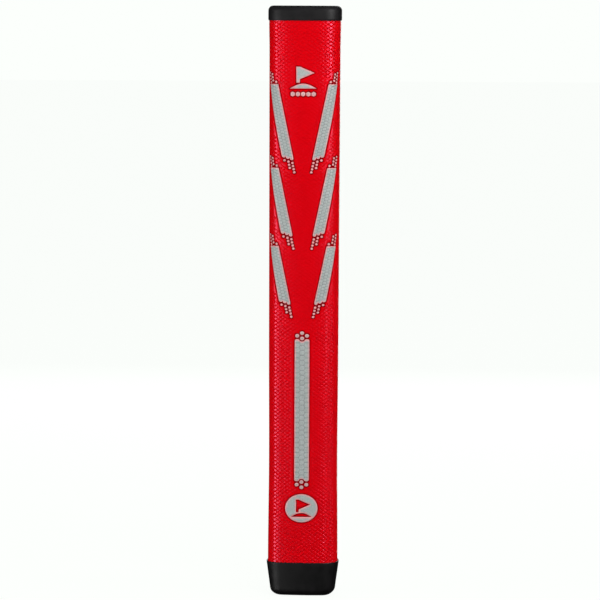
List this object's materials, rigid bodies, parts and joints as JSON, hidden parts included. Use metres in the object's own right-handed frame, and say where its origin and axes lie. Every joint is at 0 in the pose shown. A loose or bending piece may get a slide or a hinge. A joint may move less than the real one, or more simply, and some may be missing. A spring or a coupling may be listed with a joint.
{
  "type": "golf putter grip",
  "caption": "Oversize flat-front putter grip: sewn polyurethane skin on a foam core, rubber butt and mouth caps, blind shaft bore and painted chevron alignment markings.",
  "frame": {"origin": "on the shaft bore's axis, at the mouth face where the shaft enters", "axes": "+Z along the bore towards the butt cap; -Y is the flat front with the markings; +X to the right when looking at the front"},
  "size_m": [0.033, 0.0335, 0.267],
  "materials": {
    "foam": "closed-cell EVA foam",
    "felt": "non-woven felt",
    "skin": "embossed polyurethane, satin",
    "thread": "bonded thread",
    "cap_rubber": "moulded, satin",
    "silver_paint": "metallic silver fill"
  },
  "bodies": {
    "grip": {"foam_core": "foam", "felt_backing": "felt", "outer_skin": "skin", "seam_thread": "thread", "butt_cap": "cap_rubber", "mouth_cap": "cap_rubber", "chevron_upper_left": "silver_paint", "chevron_upper_right": "silver_paint", "chevron_middle_left": "silver_paint", "chevron_middle_right": "silver_paint", "chevron_lower_left": "silver_paint", "chevron_lower_right": "silver_paint", "centre_stripe": "silver_paint", "stripe_end_dots": "silver_paint", "flag_badge": "silver_paint", "badge_hexagons": "silver_paint", "flag_disc": "silver_paint"}
  },
  "joints": []
}
